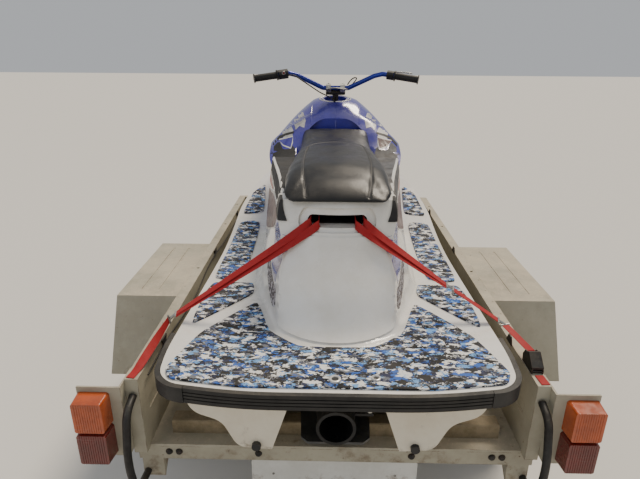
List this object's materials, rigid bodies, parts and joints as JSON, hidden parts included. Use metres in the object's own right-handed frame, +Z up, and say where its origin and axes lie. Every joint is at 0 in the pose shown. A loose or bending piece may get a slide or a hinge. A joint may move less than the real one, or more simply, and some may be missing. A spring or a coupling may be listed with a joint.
{
  "type": "sit-down personal watercraft on a utility box trailer",
  "caption": "White and violet jet-drive personal watercraft strapped in a two-wheel olive box trailer, with steering, pump, hood, wheels and prop stand that move",
  "frame": {"origin": "on the ground, under the middle of the whole object's box", "axes": "+Y forward from the stern to the bow and the trailer's coupler, +X to starboard, +Z up"},
  "size_m": [1.68, 3.3, 1.5313],
  "materials": {
    "white_gelcoat": "worn white gelcoat",
    "rubber_black": "black rubber",
    "mat_camouflage": "ribbed foam in blue, white and black flecks",
    "vinyl_black": "black marine vinyl",
    "cowl_violet": "violet-blue gloss moulding",
    "plastic_black": "black moulded plastic",
    "cast_alloy": "cast alloy",
    "alloy_dark": "dark painted alloy",
    "bar_blue": "blue anodised tube",
    "steel_bright": "bright steel",
    "steel_dark": "dark steel",
    "iron_engine": "dark cast block",
    "olive_paint": "chalky olive paint",
    "timber_olive": "painted timber",
    "tyre_rubber": "road tyre",
    "rim_paint": "grey wheel paint",
    "lens_amber": "amber lens",
    "lens_red": "red-brown lens",
    "plate_white": "blank white plate",
    "webbing_red": "red polyester webbing"
  },
  "bodies": {
    "trailer_and_craft": {"hull": "white_gelcoat", "deck": "white_gelcoat", "stern_bumper": "rubber_black", "bow_bumper": "rubber_black", "traction_mats": "mat_camouflage", "seat": "vinyl_black", "cowl": "cowl_violet", "hood_hinge": "steel_bright", "storage_bin": "plastic_black", "engine": "iron_engine", "pump_housing": "alloy_dark", "steer_rod": "steel_bright", "ride_plate": "cast_alloy", "intake_grate": "cast_alloy", "drain_plugs": "plastic_black", "deck_fittings": "cast_alloy", "cross_timbers": "timber_olive", "box_floor": "olive_paint", "front_board": "olive_paint", "chassis": "olive_paint", "rear_sill": "olive_paint", "drawbar": "olive_paint", "coupler": "steel_dark", "coupler_handle": "steel_dark", "stand_bracket": "olive_paint", "axle": "steel_dark", "leaf_springs": "steel_dark", "lamp_brackets": "olive_paint", "lamp_amber": "lens_amber", "lamp_red": "lens_red", "lamp_guards": "steel_dark", "number_plate": "plate_white", "strap_left": "webbing_red", "strap_right": "webbing_red", "side_wall_left": "olive_paint", "side_wall_right": "olive_paint", "fender_left": "olive_paint", "fender_right": "olive_paint", "bow_eye": "steel_bright", "seat_corner_pads": "rubber_black", "strap_hooks": "steel_bright", "ratchet": "steel_dark"},
    "steering_bar": {"steering_column": "steel_dark", "handlebar": "bar_blue", "bar_clamps": "cast_alloy", "grips": "rubber_black", "switch_housing": "plastic_black", "throttle_housing": "plastic_black", "throttle_lever": "cast_alloy", "control_cables": "plastic_black"},
    "nozzle": {"steer_nozzle": "alloy_dark"},
    "impeller_shaft": {"impeller": "steel_bright"},
    "hood_lid": {"hood": "cowl_violet"},
    "wheel_left": {"hub_left": "steel_dark", "rim_left": "rim_paint", "tyre_left": "tyre_rubber"},
    "wheel_right": {"hub_right": "steel_dark", "rim_right": "rim_paint", "tyre_right": "tyre_rubber"},
    "stand_leg": {"front_stand": "steel_dark"}
  },
  "joints": [
    {"name": "steering", "type": "hinge", "parent": "trailer_and_craft", "child": "steering_bar", "pos_m": [0, -0.13, 1.443], "axis": [0, -0.5, 0.866], "range_deg": [-25, 25]},
    {"name": "nozzle_swivel", "type": "hinge", "parent": "trailer_and_craft", "child": "nozzle", "pos_m": [0, -1.46, 0.63], "axis": [0, 0, 1], "range_deg": [-20, 20]},
    {"name": "impeller_spin", "type": "hinge", "parent": "trailer_and_craft", "child": "impeller_shaft", "pos_m": [0, -1.195, 0.63], "axis": [0, 1, 0], "continuous": true},
    {"name": "hood_hinge", "type": "hinge", "parent": "trailer_and_craft", "child": "hood_lid", "pos_m": [0, 0.814, 1.034], "axis": [-1, 0, 0], "range_deg": [0, 55]},
    {"name": "wheel_left_spin", "type": "hinge", "parent": "trailer_and_craft", "child": "wheel_left", "pos_m": [-0.715, -0.68, 0.289], "axis": [1, 0, 0], "continuous": true},
    {"name": "wheel_right_spin", "type": "hinge", "parent": "trailer_and_craft", "child": "wheel_right", "pos_m": [0.715, -0.68, 0.289], "axis": [1, 0, 0], "continuous": true},
    {"name": "stand_fold", "type": "hinge", "parent": "trailer_and_craft", "child": "stand_leg", "pos_m": [0, 1.05, 0.395], "axis": [-1, 0, 0], "range_deg": [0, 88]}
  ],
  "couplings": [
    {"joint": "nozzle_swivel", "follows": "steering", "ratio": -0.8}
  ]
}
